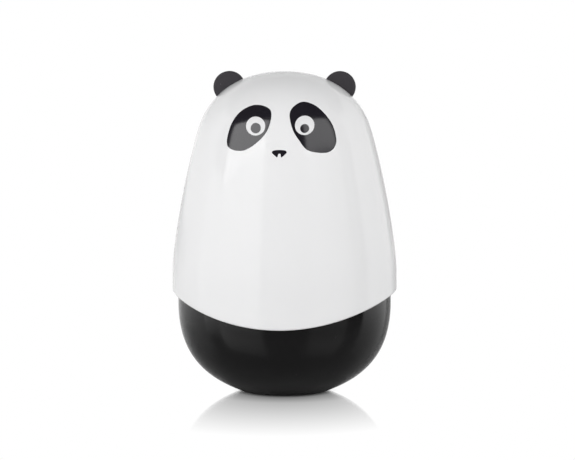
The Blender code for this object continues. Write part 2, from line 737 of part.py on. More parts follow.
def make_clapper_ball(wood):
    """The turned wooden ball, bored for the wire."""
    bore = CLAPPER_WIRE + FIT
    start = math.asin(bore / BALL_RADIUS)
    profile = []
    for i in range(BALL_POINTS + 1):
        angle = start + (math.pi - 2 * start) * i / BALL_POINTS
        profile.append((BALL_RADIUS * math.sin(angle), BALL_HEIGHT + BALL_RADIUS * math.cos(angle)))
    return finished(turned("clapper_ball", profile, DISC_STEPS, loop=True), wood)


def make_clapper_nut(brass):
    """The six-sided nut below the ball."""
    top = BALL_HEIGHT - BALL_RADIUS - SEAT_GAP
    bottom = top - NUT_HEIGHT
    nut = turned("clapper_nut", disc(NUT_RADIUS, bottom, top, NUT_EDGE), NUT_SIDES)
    bore = peg("nut_bore", CLAPPER_WIRE + FIT, bottom - OVERCUT, top + OVERCUT, SCREW_STEPS)
    shape_with(nut, bore)
    return finished(nut, brass)


def pivot(name, height, parts):
    """An empty on a joint's axis that carries the parts which move with it."""
    empty = bpy.data.objects.new(name, None)
    empty.empty_display_size = BALL_RADIUS
    empty.location = (0, 0, height)
    bpy.data.collections["Panda chime"].objects.link(empty)
    bpy.context.view_layer.update()
    for part in parts:
        part.parent = empty
        part.matrix_parent_inverse = empty.matrix_world.inverted()
    return empty


def build():
    """Make every part, from the table up, and group those that move together."""
    start_empty_scene()
    white = material("gloss_white_shell", (0.86, 0.86, 0.87), 0.14)
    black = material("gloss_black_shell", (0.008, 0.007, 0.008), 0.10)
    ear_black = material("matt_black_ear", (0.05, 0.045, 0.05), 0.55)
    rubber = material("black_rubber", (0.02, 0.02, 0.02), 0.75)
    iron = material("cast_weight", (0.10, 0.10, 0.11), 0.60, 1.0)
    grey = material("grey_deck", (0.35, 0.36, 0.37), 0.45)
    zinc = material("zinc_plate", (0.55, 0.56, 0.58), 0.38, 1.0)
    steel = material("bright_steel", (0.70, 0.70, 0.71), 0.22, 1.0)
    brass = material("brass_fitting", (0.72, 0.55, 0.26), 0.25, 1.0)
    wood = material("beech_ball", (0.62, 0.42, 0.23), 0.50)

    make_foot_pad(rubber)
    make_bowl(black)
    make_ballast(iron)
    make_ballast_washer(steel)
    washer_top = BALLAST_TOP + SEAT_GAP + WASHER_THICKNESS
    washer_to_post = washer_top - BALLAST_TOP + BALLAST_POST_DROP
    make_screw("ballast_screw", (0, 0, washer_top), washer_to_post, steel)
    make_grip_ring(rubber)
    make_deck(grey)
    make_plate(zinc)
    for number, angle in enumerate(DIAGONALS, 1):
        across, along = math.cos(angle), math.sin(angle)
        deck_place = (DECK_SCREW_CIRCLE * across, DECK_SCREW_CIRCLE * along, DECK_TOP)
        make_screw(f"deck_screw_{number}", deck_place, DECK_TOP - BOSS_TOP, steel)
        plate_place = (PLATE_SCREW_CIRCLE * across, PLATE_SCREW_CIRCLE * along, PLATE_TOP)
        make_screw(f"plate_screw_{number}", plate_place, PLATE_TOP - DECK_HEIGHT, steel)
    for number in range(ROD_COUNT):
        make_rod(number, steel)
    for name, side in (("left", -1), ("right", 1)):
        make_post(f"post_{name}", side, steel)
        make_bar_cap(f"bar_cap_{name}", side, brass)
    make_cross_bar(steel)

    clapper_parts = [make_clapper_rod(steel), make_clapper_ball(wood), make_clapper_nut(brass)]
    clapper_swing = pivot("clapper_swing", CLAPPER_PIVOT, clapper_parts)
    pivot("ring_swing", BAR_HEIGHT, [make_hanger_ring(steel), clapper_swing])

    cap_parts = [make_cap(white)]
    for name, side in (("left", -1), ("right", 1)):
        cap_parts.append(make_ear(f"ear_{name}", side, ear_black))
        cap_parts.append(make_ear_clip(f"ear_clip_{name}", side, steel))
    pivot("cap_lift", STOP_BOTTOM, cap_parts)


build()
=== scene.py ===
import math

import bmesh
import bpy
from mathutils import Matrix, Vector
from mathutils.geometry import interpolate_bezier


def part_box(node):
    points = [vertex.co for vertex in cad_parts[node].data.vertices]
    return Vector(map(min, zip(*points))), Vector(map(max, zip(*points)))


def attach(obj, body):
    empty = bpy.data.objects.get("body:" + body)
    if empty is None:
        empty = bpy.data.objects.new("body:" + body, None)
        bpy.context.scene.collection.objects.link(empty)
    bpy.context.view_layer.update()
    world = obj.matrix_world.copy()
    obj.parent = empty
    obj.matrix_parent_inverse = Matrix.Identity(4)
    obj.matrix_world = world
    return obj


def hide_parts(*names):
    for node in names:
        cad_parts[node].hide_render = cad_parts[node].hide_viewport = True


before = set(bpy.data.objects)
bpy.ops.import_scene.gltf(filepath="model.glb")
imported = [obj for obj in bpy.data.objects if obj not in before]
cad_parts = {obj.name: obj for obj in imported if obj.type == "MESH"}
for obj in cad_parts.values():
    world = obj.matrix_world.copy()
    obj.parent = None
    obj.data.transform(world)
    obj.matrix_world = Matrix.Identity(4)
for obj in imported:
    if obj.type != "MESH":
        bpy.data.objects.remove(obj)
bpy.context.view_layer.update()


# Foot pad
# A disc of moulded black rubber, pressed into the recess below the bowl.
# The whole toy stands on it, so its edge is rounded and its skin is matt.
def turned(profile, steps, closed=False):
    """A shape turned about Z from (radius, height) corners."""
    merge_within = 1e-7
    bm = bmesh.new()
    corners = [bm.verts.new((radius, 0.0, height)) for radius, height in profile]
    for first, second in zip(corners, corners[1:]):
        bm.edges.new((first, second))
    if closed:
        bm.edges.new((corners[-1], corners[0]))
    outline = bm.verts[:] + bm.edges[:]
    bmesh.ops.spin(
        bm, geom=outline, cent=(0, 0, 0), axis=(0, 0, 1), angle=math.tau, steps=steps, use_merge=True
    )
    bmesh.ops.remove_doubles(bm, verts=bm.verts, dist=merge_within)
    bmesh.ops.recalc_face_normals(bm, faces=bm.faces)
    return bm


def soften(bm, width, segments=2):
    """Round the sharp edges of a shape."""
    sharp_from = math.radians(35)
    sharp = [edge for edge in bm.edges if edge.is_manifold and edge.calc_face_angle() > sharp_from]
    bmesh.ops.bevel(
        bm,
        geom=sharp,
        offset=width,
        offset_type="OFFSET",
        segments=segments,
        profile=0.5,
        affect="EDGES",
        material=-1,
        clamp_overlap=True,
    )
    return bm


def disc(radius, bottom, top):
    """Corners of a round plate, from the middle of its top to the middle of its underside."""
    return [(0, top), (radius, top), (radius, bottom), (0, bottom)]


def placed(name, bm, material):
    """Put a shape into the scene as an object."""
    mesh = bpy.data.meshes.new(name)
    bm.to_mesh(mesh)
    bm.free()
    mesh.materials.append(material)
    obj = bpy.data.objects.new(name, mesh)
    bpy.context.scene.collection.objects.link(obj)
    return obj


def shown(name, bm, material, body):
    """Make a shape one of the object's pieces, smooth between its edges."""
    smooth_below = math.radians(30)
    piece = placed(name, bm, material)
    piece.data.shade_smooth()
    piece.data.set_sharp_from_angle(angle=smooth_below)
    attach(piece, body)
    return piece


def stand_in(name, bm, material, body, node):
    """Show a shape in place of one solid of the frame."""
    piece = shown(name, bm, material, body)
    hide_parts(node)


def set_inputs(node, values):
    """Set some of a node's inputs by name."""
    for socket, value in values.items():
        node.inputs[socket].default_value = value


def skin_group():
    """Clouds of colour and gloss with a fine grain, stretched along any axis."""
    group = bpy.data.node_groups.new("skin", "ShaderNodeTree")
    inputs = (
        ("Colour", "NodeSocketColor"),
        ("Second Colour", "NodeSocketColor"),
        ("Smooth", "NodeSocketFloat"),
        ("Rough", "NodeSocketFloat"),
        ("Cloud Scale", "NodeSocketFloat"),
        ("Grain Scale", "NodeSocketFloat"),
        ("Stretch", "NodeSocketVector"),
    )
    outputs = (("Colour", "NodeSocketColor"), ("Roughness", "NodeSocketFloat"), ("Grain", "NodeSocketFloat"))
    for socket, kind in inputs:
        group.interface.new_socket(socket, in_out="INPUT", socket_type=kind)
    for socket, kind in outputs:
        group.interface.new_socket(socket, in_out="OUTPUT", socket_type=kind)
    nodes, link = group.nodes, group.links.new
    given = nodes.new("NodeGroupInput")
    place = nodes.new("ShaderNodeTexCoord")
    stretched = nodes.new("ShaderNodeVectorMath")
    stretched.operation = "MULTIPLY"
    link(place.outputs["Object"], stretched.inputs[0])
    link(given.outputs["Stretch"], stretched.inputs[1])
    cloud = nodes.new("ShaderNodeTexNoise")
    cloud.inputs["Detail"].default_value = 3.0
    link(stretched.outputs[0], cloud.inputs["Vector"])
    link(given.outputs["Cloud Scale"], cloud.inputs["Scale"])
    grain = nodes.new("ShaderNodeTexNoise")
    grain.inputs["Detail"].default_value = 2.0
    link(stretched.outputs[0], grain.inputs["Vector"])
    link(given.outputs["Grain Scale"], grain.inputs["Scale"])
    colour = nodes.new("ShaderNodeMix")
    colour.data_type = "RGBA"
    link(cloud.outputs["Fac"], colour.inputs["Factor"])
    link(given.outputs["Colour"], colour.inputs["A"])
    link(given.outputs["Second Colour"], colour.inputs["B"])
    gloss = nodes.new("ShaderNodeMapRange")
    set_inputs(gloss, {"From Min": 0.3, "From Max": 0.7})
    link(grain.outputs["Fac"], gloss.inputs["Value"])
    link(given.outputs["Smooth"], gloss.inputs["To Min"])
    link(given.outputs["Rough"], gloss.inputs["To Max"])
    made = nodes.new("NodeGroupOutput")
    link(colour.outputs["Result"], made.inputs["Colour"])
    link(gloss.outputs["Result"], made.inputs["Roughness"])
    link(grain.outputs["Fac"], made.inputs["Grain"])
    return group


skin = skin_group()


def finish(name, colours, gloss, scales, relief, stretch=(1, 1, 1), metallic=0.0, specular=0.5):
    """A surface of the skin group: two colours, two roughnesses, cloud and grain scales, grain relief."""
    material = bpy.data.materials.new(name)
    material.use_nodes = True
    nodes, link = material.node_tree.nodes, material.node_tree.links.new
    shader = nodes["Principled BSDF"]
    surface = nodes.new("ShaderNodeGroup")
    surface.name = "skin"
    surface.node_tree = skin
    set_inputs(surface, {"Colour": (*colours[0], 1), "Second Colour": (*colours[1], 1)})
    set_inputs(surface, {"Smooth": gloss[0], "Rough": gloss[1]})
    set_inputs(surface, {"Cloud Scale": scales[0], "Grain Scale": scales[1], "Stretch": stretch})
    bump = nodes.new("ShaderNodeBump")
    bump.inputs["Distance"].default_value = relief
    link(surface.outputs["Colour"], shader.inputs["Base Color"])
    link(surface.outputs["Roughness"], shader.inputs["Roughness"])
    link(surface.outputs["Grain"], bump.inputs["Height"])
    link(bump.outputs["Normal"], shader.inputs["Normal"])
    set_inputs(shader, {"Metallic": metallic, "Specular IOR Level": specular})
    return material


rubber = finish(
    "black rubber",
    colours=((0.016, 0.016, 0.017), (0.030, 0.029, 0.029)),
    gloss=(0.62, 0.82),
    scales=(220, 2600),
    relief=0.00002,
    specular=0.35,
)
pad_low, pad_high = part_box("foot_pad")
pad = soften(turned(disc(pad_high.x, pad_low.z, pad_high.z), steps=96), width=0.00035, segments=3)
stand_in("rubber_pad", pad, rubber, "base", "foot_pad")


# Bowl
# The lower half of the toy: one deep moulding in high-gloss black plastic with a flat foot.
# Its straight collar carries a groove for the grip ring, and four bosses inside take the deck's screws.
def combined(bm, tool, operation):
    """One shape from two, joined or cut."""
    pair = []
    for shape in (bm, tool):
        mesh = bpy.data.meshes.new("shape")
        shape.to_mesh(mesh)
        shape.free()
        pair.append(bpy.data.objects.new("shape", mesh))
        bpy.context.scene.collection.objects.link(pair[-1])
    change = pair[0].modifiers.new("change", "BOOLEAN")
    change.operation = operation
    change.object = pair[1]
    result = bmesh.new()
    result.from_object(pair[0], bpy.context.evaluated_depsgraph_get())
    for obj in pair:
        bpy.data.objects.remove(obj)
    return result


def pegs(frames, radius, bottom, top, steps=48):
    """Cylinders along Z in several frames."""
    bm = bmesh.new()
    for place in frames:
        bmesh.ops.create_cone(
            bm,
            cap_ends=True,
            segments=steps,
            radius1=radius,
            radius2=radius,
            depth=top - bottom,
            matrix=place @ Matrix.Translation((0, 0, (top + bottom) / 2)),
        )
    return bm


def diagonal(circle):
    """The four frames on a circle where the screws stand."""
    angles = [math.radians(45 + 90 * quarter) for quarter in range(4)]
    return [Matrix.Translation((circle * math.cos(a), circle * math.sin(a), 0)) for a in angles]


def curve(start, start_pull, end_pull, end, points):
    """(radius, height) points of a smooth curve between two corners."""
    corners = [Vector((*corner, 0)) for corner in (start, start_pull, end_pull, end)]
    return [(point.x, point.y) for point in interpolate_bezier(*corners, points)]


def moved_in(outline, depth):
    """An outline that runs down its outer side, moved inwards square to itself."""
    moved = []
    for i, (radius, height) in enumerate(outline):
        before = outline[max(i - 1, 0)]
        after = outline[min(i + 1, len(outline) - 1)]
        along = Vector((after[0] - before[0], after[1] - before[1])).normalized()
        moved.append((max(radius + depth * along.y, 0.0), height - depth * along.x))
    return moved


def calculated(nodes, link, operation, first, second, clamp=False):
    """The result of a Math node on two values."""
    step = nodes.new("ShaderNodeMath")
    step.operation = operation
    step.use_clamp = clamp
    link(first, step.inputs[0])
    link(second, step.inputs[1])
    return step.outputs[0]


def dust_group():
    """A mask of scattered specks, as fine dust on a shiny surface."""
    group = bpy.data.node_groups.new("dust", "ShaderNodeTree")
    for socket in ("Scale", "Size"):
        group.interface.new_socket(socket, in_out="INPUT", socket_type="NodeSocketFloat")
    group.interface.new_socket("Mask", in_out="OUTPUT", socket_type="NodeSocketFloat")
    nodes, link = group.nodes, group.links.new
    given = nodes.new("NodeGroupInput")
    place = nodes.new("ShaderNodeTexCoord")
    cells = nodes.new("ShaderNodeTexVoronoi")
    link(place.outputs["Object"], cells.inputs["Vector"])
    link(given.outputs["Scale"], cells.inputs["Scale"])
    patches = nodes.new("ShaderNodeTexNoise")
    patches.inputs["Scale"].default_value = 160.0
    link(place.outputs["Object"], patches.inputs["Vector"])
    size = calculated(nodes, link, "MULTIPLY", patches.outputs["Fac"], given.outputs["Size"])
    speck = calculated(nodes, link, "LESS_THAN", cells.outputs["Distance"], size)
    made = nodes.new("NodeGroupOutput")
    link(speck, made.inputs["Mask"])
    return group


dust = dust_group()


def dusted(material, scale, size, colour):
    """Scatter pale specks over a surface."""
    nodes, link = material.node_tree.nodes, material.node_tree.links.new
    specks = nodes.new("ShaderNodeGroup")
    specks.node_tree = dust
    set_inputs(specks, {"Scale": scale, "Size": size})
    tint = nodes.new("ShaderNodeMix")
    tint.data_type = "RGBA"
    tint.inputs["B"].default_value = (*colour, 1)
    link(specks.outputs["Mask"], tint.inputs["Factor"])
    link(nodes["skin"].outputs["Colour"], tint.inputs["A"])
    link(tint.outputs["Result"], nodes["Principled BSDF"].inputs["Base Color"])


gloss_black = finish(
    "gloss black shell",
    colours=((0.0020, 0.0019, 0.0021), (0.0030, 0.0028, 0.0031)),
    gloss=(0.07, 0.11),
    scales=(60, 420),
    relief=0.0000004,
    specular=0.5,
)
dusted(gloss_black, scale=330, size=0.085, colour=(0.05, 0.047, 0.05))
bowl_low, bowl_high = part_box("base_bowl")
bowl_radius, bowl_top, foot_lift = bowl_high.x, bowl_high.z, bowl_low.z
bowl_edge = 0.0006
bowl_wall = 0.0030
bowl_floor = 0.0041
floor_top = foot_lift + bowl_floor
foot_radius = 0.0175
foot_pull = 0.0191
foot_slope = math.radians(20.1)
side_bottom = 0.0360
side_pull = 0.0178
groove_radius = 0.04095
groove_drop = 0.0027
groove_width = 0.0022
groove_top = bowl_top - groove_drop
groove_bottom = groove_top - groove_width
seat_gap = 0.0003
press_gap = 0.0001
recess_radius = pad_high.x + seat_gap
recess_top = pad_high.z + seat_gap
screw_hole = 0.0013
weight_post_radius = 0.0040
weight_post_top = 0.0134
boss_radius = 0.0034
boss_hole_depth = 0.0057
deck_bottom = 0.0400
deck_screw_inset = 0.0030
deck_screw_circle = bowl_radius - bowl_wall - deck_screw_inset
bowl_side = curve(
    (bowl_radius, side_bottom),
    (bowl_radius, side_bottom - side_pull),
    (foot_radius + foot_pull * math.cos(foot_slope), foot_lift + foot_pull * math.sin(foot_slope)),
    (foot_radius, foot_lift),
    points=72,
)
bowl_inside = [point for point in moved_in(bowl_side, bowl_wall) if point[1] > floor_top]
bowl = turned(
    [
        (0, floor_top),
        (screw_hole, floor_top),
        (screw_hole, weight_post_top),
        (weight_post_radius, weight_post_top),
        (weight_post_radius, floor_top),
        (bowl_inside[-1][0], floor_top),
        *bowl_inside[::-1],
        (bowl_radius - bowl_wall, bowl_top),
        (bowl_radius - bowl_edge, bowl_top),
        (bowl_radius, bowl_top - bowl_edge),
        (bowl_radius, groove_top),
        (groove_radius, groove_top),
        (groove_radius, groove_bottom),
        (bowl_radius, groove_bottom),
        *bowl_side,
        (recess_radius, foot_lift),
        (recess_radius, recess_top),
        (0, recess_top),
    ],
    steps=192,
)
soften(bowl, width=0.00015)
blank = turned([(0, bowl_top), *moved_in(bowl_side, bowl_wall / 2), (0, floor_top)], steps=96)
deck_screws = diagonal(deck_screw_circle)
bosses = pegs(deck_screws, boss_radius, floor_top, deck_bottom - seat_gap)
holes = pegs(deck_screws, screw_hole, deck_bottom - boss_hole_depth, deck_bottom + seat_gap, steps=24)
bosses = combined(combined(bosses, holes, "DIFFERENCE"), blank, "INTERSECT")
bowl = combined(bowl, bosses, "UNION")
stand_in("black_bowl", bowl, gloss_black, "base", "base_bowl")


# Weight
# A ring of cast iron low in the bowl, which keeps the toy upright when it is knocked.
# A wide washer and one pan-head screw clamp it to the bowl's middle post.
def washer(bore, radius, bottom, top):
    """Closed corners of a round plate with a hole."""
    return [(radius, top), (radius, bottom), (bore, bottom), (bore, top)]


def pan_screw(length, head_radius, head_height):
    """A pan-head screw on its seat at the origin, with a cross recess and a plain shank."""
    shank_radius = 0.0012
    tip = 0.0010
    recess = Vector((0.0028, 0.0007, 0.0018))
    dome = curve(
        (0, head_height),
        (head_radius * 0.72, head_height),
        (head_radius, head_height * 0.8),
        (head_radius, head_height * 0.3),
        points=12,
    )
    shank = [(head_radius, 0), (shank_radius, 0), (shank_radius, tip - length), (0, -length)]
    screw = turned(dome + shank, steps=40)
    bars = []
    for turn in (0, math.pi / 2):
        place = Matrix.Translation((0, 0, head_height)) @ Matrix.Rotation(turn, 4, "Z")
        bars.append(bmesh.new())
        bmesh.ops.create_cube(bars[-1], size=1, matrix=place @ Matrix.Diagonal((*recess, 1)))
    return combined(screw, combined(*bars, "UNION"), "DIFFERENCE")


def put_screw(name, node):
    """Show a screw where its solid stands."""
    head_radius = 0.0023
    head_height = 0.0015
    low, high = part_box(node)
    seat = Vector(((low.x + high.x) / 2, (low.y + high.y) / 2, high.z - head_height))
    screw = pan_screw(seat.z - low.z, head_radius, head_height)
    bmesh.ops.translate(screw, verts=screw.verts, vec=seat)
    stand_in(name, screw, zinc_plating, "base", node)


cast_iron = finish(
    "cast iron",
    colours=((0.070, 0.070, 0.075), (0.130, 0.128, 0.130)),
    gloss=(0.50, 0.75),
    scales=(150, 1400),
    relief=0.00012,
    metallic=1.0,
)
zinc_plating = finish(
    "zinc plating",
    colours=((0.60, 0.61, 0.63), (0.68, 0.68, 0.68)),
    gloss=(0.20, 0.36),
    scales=(180, 1500),
    relief=0.000004,
    metallic=1.0,
)
weight_low, weight_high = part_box("ballast_ring")
weight_edge = 0.0006
weight_gap = 0.0015
weight_bore = weight_post_radius + seat_gap
weight_form = moved_in(bowl_side, bowl_wall + weight_gap)
weight_side = [point for point in weight_form if weight_low.z < point[1] < weight_high.z - weight_edge]
weight = turned(
    [
        (weight_side[0][0] - weight_edge, weight_high.z),
        *weight_side,
        (weight_side[-1][0], weight_low.z),
        (weight_bore, weight_low.z),
        (weight_bore, weight_high.z),
    ],
    steps=128,
    closed=True,
)
soften(weight, width=0.0003)
stand_in("iron_ring", weight, cast_iron, "base", "ballast_ring")
washer_low, washer_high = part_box("ballast_washer")
clamp = turned(washer(screw_hole, washer_high.x, washer_low.z, washer_high.z), steps=72, closed=True)
soften(clamp, width=0.0002)
stand_in("clamp_washer", clamp, zinc_plating, "base", "ballast_washer")
put_screw("clamp_screw", "ballast_screw")


# Grip ring
# A rubber ring of round section, stretched into the groove round the bowl's collar.
# The cap rubs on it, which is what holds the cap on.
def round_wire(circle, section, height=0.0, sides=24):
    """Closed corners of a ring of round section."""
    angles = [math.tau * side / sides for side in range(sides)]
    return [(circle + section * math.cos(a), height + section * math.sin(a)) for a in angles]


grip_circle = 0.04205
grip_section = 0.0009
grip_height = (groove_top + groove_bottom) / 2
grip = turned(round_wire(grip_circle, grip_section, grip_height), steps=160, closed=True)
stand_in("grip_o_ring", grip, rubber, "base", "grip_ring")


# Deck
# The inner lid of the bowl, moulded in satin grey plastic, which hides the weight.
# Four screws hold it on the bowl's bosses, and four bosses below it take the chime plate's screws.
satin_grey = finish(
    "satin grey plastic",
    colours=((0.33, 0.34, 0.35), (0.38, 0.39, 0.40)),
    gloss=(0.40, 0.52),
    scales=(90, 2400),
    relief=0.00002,
    specular=0.45,
)
deck_low, deck_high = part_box("chime_deck")
plate_low, plate_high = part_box("chime_plate")
plate_screw_inset = 0.0074
plate_screws = diagonal(plate_high.x - plate_screw_inset)
deck = soften(turned(disc(deck_high.x, deck_bottom, deck_high.z), steps=160), width=0.0004)
deck_bosses = pegs(plate_screws, boss_radius, deck_low.z, deck_bottom + seat_gap)
deck_screw_holes = deck_screws + plate_screws
deck_holes = pegs(deck_screw_holes, screw_hole, deck_low.z - seat_gap, deck_high.z + seat_gap, steps=32)
deck = combined(combined(deck, deck_bosses, "UNION"), deck_holes, "DIFFERENCE")
stand_in("grey_deck_disc", deck, satin_grey, "base", "chime_deck")
for number in range(1, 5):
    put_screw(f"deck_pan_screw_{number}", f"deck_screw_{number}")


# Chime plate
# A heavy disc of die-cast zinc, bead blasted, which carries the sound of the rods into the bowl.
# It has a blind socket for each rod and post, and four screws hold it on the deck.
blasted_zinc = finish(
    "blasted zinc",
    colours=((0.50, 0.51, 0.53), (0.60, 0.61, 0.63)),
    gloss=(0.34, 0.50),
    scales=(110, 1900),
    relief=0.000025,
    metallic=1.0,
)
socket_depth = 0.0046
rod_socket_radius = 0.00135
post_socket_radius = 0.0018
socket_floor = plate_high.z - socket_depth
rods = [f"chime_rod_{number}" for number in range(1, 5)]
posts = ["post_left", "post_right"]


def middle(node):
    """The frame on the table under an upright piece."""
    low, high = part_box(node)
    return Matrix.Translation(((low.x + high.x) / 2, (low.y + high.y) / 2, 0))


plate = soften(turned(disc(plate_high.x, plate_low.z, plate_high.z), steps=144), width=0.0006, segments=3)
plate_top = plate_high.z + seat_gap
rod_sockets = pegs([middle(rod) for rod in rods], rod_socket_radius, socket_floor, plate_top, steps=32)
post_sockets = pegs([middle(post) for post in posts], post_socket_radius, socket_floor, plate_top, steps=32)
plate_holes = pegs(plate_screws, screw_hole, plate_low.z - seat_gap, plate_top, steps=32)
for cutter in (rod_sockets, post_sockets, plate_holes):
    plate = combined(plate, cutter, "DIFFERENCE")
stand_in("zinc_plate_disc", plate, blasted_zinc, "base", "chime_plate")
for number in range(1, 5):
    put_screw(f"plate_pan_screw_{number}", f"plate_screw_{number}")


# Chime rods
# Four polished steel rods of stepped lengths, each with its own note, pressed into the plate.
# Their ends are turned to a small round, and a fine drawn grain runs along them.
drawn_steel = finish(
    "drawn steel",
    colours=((0.66, 0.66, 0.67), (0.74, 0.74, 0.74)),
    gloss=(0.14, 0.26),
    scales=(700, 3000),
    relief=0.000003,
    stretch=(1, 1, 0.04),
    metallic=1.0,
)
for rod in rods:
    rod_low, rod_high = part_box(rod)
    rod_radius = (rod_high.x - rod_low.x) / 2
    shaft = soften(turned(disc(rod_radius, rod_low.z, rod_high.z), steps=40), width=0.0005, segments=4)
    bmesh.ops.transform(shaft, matrix=middle(rod), verts=shaft.verts)
    stand_in(f"steel_{rod}", shaft, drawn_steel, "base", rod)


# Posts and cross bar
# Two turned steel posts stand in the plate, and a steel bar passes through their round heads.
# The bar is turned down in the middle where the ring hangs, and a brass cup is pressed on each end.
turned_steel = finish(
    "turned steel",
    colours=((0.66, 0.66, 0.67), (0.74, 0.74, 0.74)),
    gloss=(0.16, 0.28),
    scales=(700, 3000),
    relief=0.000003,
    stretch=(0.05, 0.05, 1),
    metallic=1.0,
)
brass = finish(
    "turned brass",
    colours=((0.70, 0.52, 0.23), (0.77, 0.60, 0.31)),
    gloss=(0.18, 0.32),
    scales=(420, 2600),
    relief=0.000004,
    stretch=(1, 0.1, 0.1),
    metallic=1.0,
)
bar_low, bar_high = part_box("cross_bar")
bar_height = (bar_low.z + bar_high.z) / 2
bar_radius = 0.0020
bar_bore = bar_radius + press_gap
bar_neck_radius = 0.0015
bar_neck_half = 0.0013
post_radius = 0.0024
post_head_radius = 0.0038
post_flange_radius = 0.0036
post_flange_height = 0.0012
post_spigot_radius = 0.0017
sideways = Matrix.Translation((0, 0, bar_height)) @ Matrix.Rotation(math.pi / 2, 4, "Y")
neck_angle = math.asin(post_radius / post_head_radius)
head_angles = [(math.pi - neck_angle) * step / 24 for step in range(25)]
post_head = [
    (post_head_radius * math.sin(angle), bar_height + post_head_radius * math.cos(angle))
    for angle in head_angles
]
flange_bottom = plate_high.z + seat_gap
flange_top = flange_bottom + post_flange_height
for post in posts:
    post_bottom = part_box(post)[0].z
    column = turned(
        [
            *post_head,
            (post_radius, flange_top),
            (post_flange_radius, flange_top),
            (post_flange_radius, flange_bottom),
            (post_spigot_radius, flange_bottom),
            (post_spigot_radius, post_bottom),
            (0, post_bottom),
        ],
        steps=48,
    )
    soften(column, width=0.0002)
    eye = pegs([sideways], bar_bore, -2 * post_head_radius, 2 * post_head_radius, steps=32)
    column = combined(column, eye, "DIFFERENCE")
    bmesh.ops.transform(column, matrix=middle(post), verts=column.verts)
    stand_in(f"steel_{post}", column, turned_steel, "base", post)
bar_half = [
    (0, bar_high.x),
    (bar_radius, bar_high.x),
    (bar_radius, bar_neck_half + bar_radius - bar_neck_radius),
    (bar_neck_radius, bar_neck_half),
]
cross_bar = turned(bar_half + [(radius, -along) for radius, along in bar_half[::-1]], steps=48)
soften(cross_bar, width=0.0002)
bmesh.ops.transform(cross_bar, matrix=sideways, verts=cross_bar.verts)
stand_in("steel_bar", cross_bar, turned_steel, "base", "cross_bar")
cup_low, cup_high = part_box("bar_cap_right")
cup_floor = bar_high.x + seat_gap
cup_radius = (cup_high.z - cup_low.z) / 2
cup_profile = [
    (0, cup_high.x),
    (cup_radius, cup_high.x),
    (cup_radius, cup_low.x),
    (bar_bore, cup_low.x),
    (bar_bore, cup_floor),
    (0, cup_floor),
]
for side, turn in (("left", math.pi), ("right", 0)):
    cup = soften(turned(cup_profile, steps=48), width=0.0005, segments=3)
    bmesh.ops.transform(cup, matrix=Matrix.Rotation(turn, 4, "Z") @ sideways, verts=cup.verts)
    stand_in(f"brass_cup_{side}", cup, brass, "base", f"bar_cap_{side}")


# Ring
# A ring of bright steel wire, closed by a butt weld, which hangs in the neck of the bar.
# It swings to the front and back and carries the clapper.
ring_low, ring_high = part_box("hanger_ring")
ring_wire = 0.0007
ring_circle = 0.0042
ring_height = (ring_low.z + ring_high.z) / 2
wire_ring = turned(round_wire(ring_circle, ring_wire), steps=96, closed=True)
ring_place = Matrix.Translation((0, 0, ring_height)) @ Matrix.Rotation(math.pi / 2, 4, "Y")
bmesh.ops.transform(wire_ring, matrix=ring_place, verts=wire_ring.verts)
stand_in("wire_ring", wire_ring, drawn_steel, "ring", "hanger_ring")


# Clapper
# A steel wire with an eye round the ring, and a turned beech ball that strikes the rods.
# A shoulder on the wire stops the ball from sliding up, and a six-sided brass nut holds it from below.
def beech_wood():
    """Oiled beech: close rings across the grain, and the short dark flecks that beech has."""
    material = bpy.data.materials.new("oiled beech")
    material.use_nodes = True
    nodes, link = material.node_tree.nodes, material.node_tree.links.new
    shader = nodes["Principled BSDF"]
    shader.inputs["Specular IOR Level"].default_value = 0.4
    place = nodes.new("ShaderNodeTexCoord")
    lie = nodes.new("ShaderNodeMapping")
    set_inputs(lie, {"Location": (0.011, 0.004, 0.0), "Rotation": (0.2, 0.35, 0.0)})
    link(place.outputs["Object"], lie.inputs["Vector"])
    rings = nodes.new("ShaderNodeTexWave")
    rings.wave_type = "RINGS"
    rings.rings_direction = "Z"
    set_inputs(rings, {"Scale": 190.0, "Distortion": 2.5, "Detail": 3.0, "Detail Scale": 60.0})
    link(lie.outputs["Vector"], rings.inputs["Vector"])
    along = nodes.new("ShaderNodeMapping")
    along.inputs["Scale"].default_value = (1800, 1800, 320)
    link(lie.outputs["Vector"], along.inputs["Vector"])
    flecks = nodes.new("ShaderNodeTexNoise")
    set_inputs(flecks, {"Scale": 1.0, "Detail": 2.0})
    link(along.outputs["Vector"], flecks.inputs["Vector"])
    wood = nodes.new("ShaderNodeValToRGB")
    wood.color_ramp.elements[0].color = (0.50, 0.31, 0.15, 1)
    wood.color_ramp.elements[1].color = (0.68, 0.47, 0.27, 1)
    link(rings.outputs["Fac"], wood.inputs["Fac"])
    fleck = nodes.new("ShaderNodeMapRange")
    set_inputs(fleck, {"From Min": 0.60, "From Max": 0.72})
    link(flecks.outputs["Fac"], fleck.inputs["Value"])
    colour = nodes.new("ShaderNodeMix")
    colour.data_type = "RGBA"
    colour.inputs["B"].default_value = (0.30, 0.16, 0.07, 1)
    link(fleck.outputs["Result"], colour.inputs["Factor"])
    link(wood.outputs["Color"], colour.inputs["A"])
    link(colour.outputs["Result"], shader.inputs["Base Color"])
    gloss = nodes.new("ShaderNodeMapRange")
    set_inputs(gloss, {"To Min": 0.42, "To Max": 0.58})
    link(rings.outputs["Fac"], gloss.inputs["Value"])
    link(gloss.outputs["Result"], shader.inputs["Roughness"])
    bump = nodes.new("ShaderNodeBump")
    bump.inputs["Distance"].default_value = 0.00002
    link(flecks.outputs["Fac"], bump.inputs["Height"])
    link(bump.outputs["Normal"], shader.inputs["Normal"])
    return material


